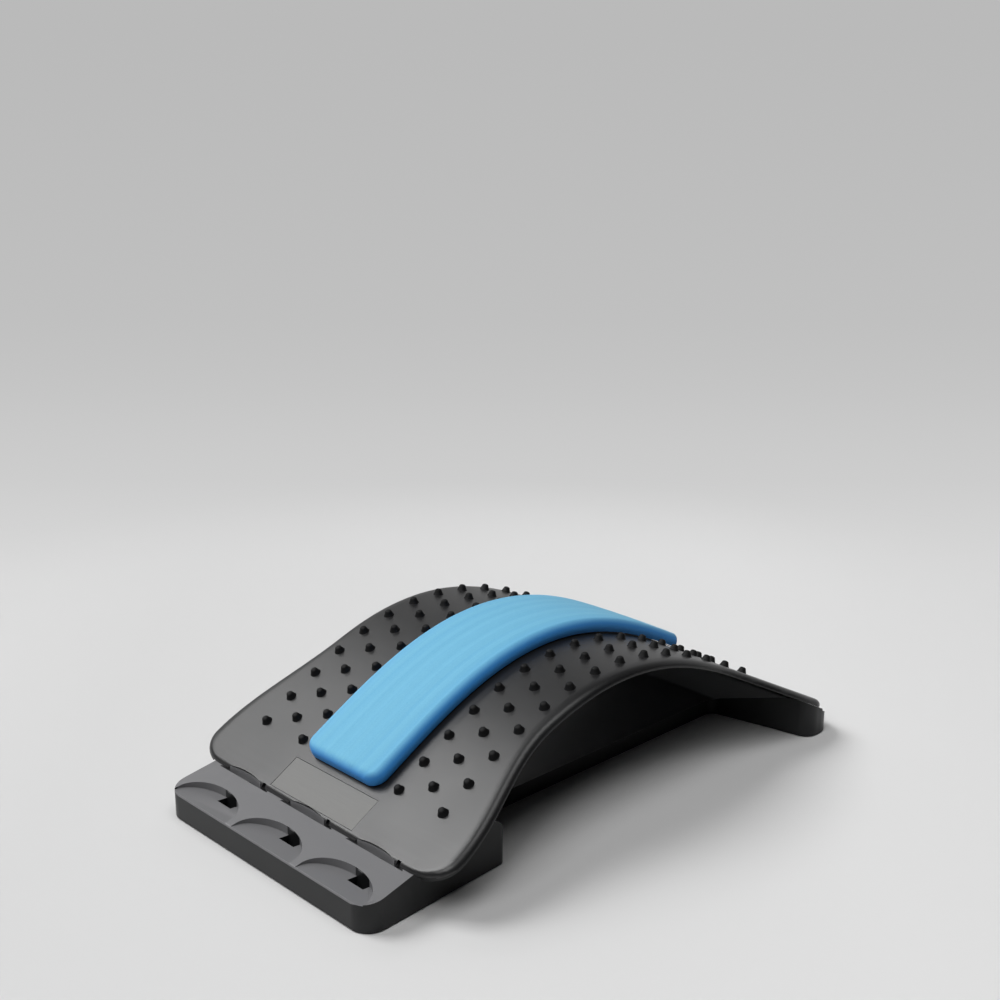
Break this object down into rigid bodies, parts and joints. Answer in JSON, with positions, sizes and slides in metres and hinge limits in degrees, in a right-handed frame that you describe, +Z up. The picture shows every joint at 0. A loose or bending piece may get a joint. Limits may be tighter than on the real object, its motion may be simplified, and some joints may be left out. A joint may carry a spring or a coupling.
{
  "type": "back stretcher",
  "caption": "Arched back stretcher: a nubbed spring plate with a foam spine pad, hooked into a stepped base board.",
  "frame": {"origin": "centre of the footprint, on the surface that the feet stand on", "axes": "+X from the step block to the heel block, +Y to the left seen from the step block, +Z up"},
  "size_m": [0.421, 0.244, 0.1093],
  "materials": {
    "charcoal_abs": "satin moulded charcoal ABS",
    "blue_foam": "soft light blue closed-cell foam",
    "adhesive_film": "double-sided adhesive film",
    "panel_foil": "bare satin grey foil",
    "black_rubber": "matte black rubber"
  },
  "bodies": {
    "base": {"base_board": "charcoal_abs", "foot_front_left": "black_rubber", "foot_front_right": "black_rubber", "foot_rear_left": "black_rubber", "foot_rear_right": "black_rubber"},
    "arch": {"arch_plate": "charcoal_abs", "spine_pad": "blue_foam", "pad_film": "adhesive_film", "name_panel": "panel_foil"}
  },
  "joints": [
    {"name": "arch_lift", "type": "hinge", "parent": "base", "child": "arch", "pos_m": [0.20096, 0, 0.01771], "axis": [0, 1, 0], "range_deg": [0, 60]}
  ]
}
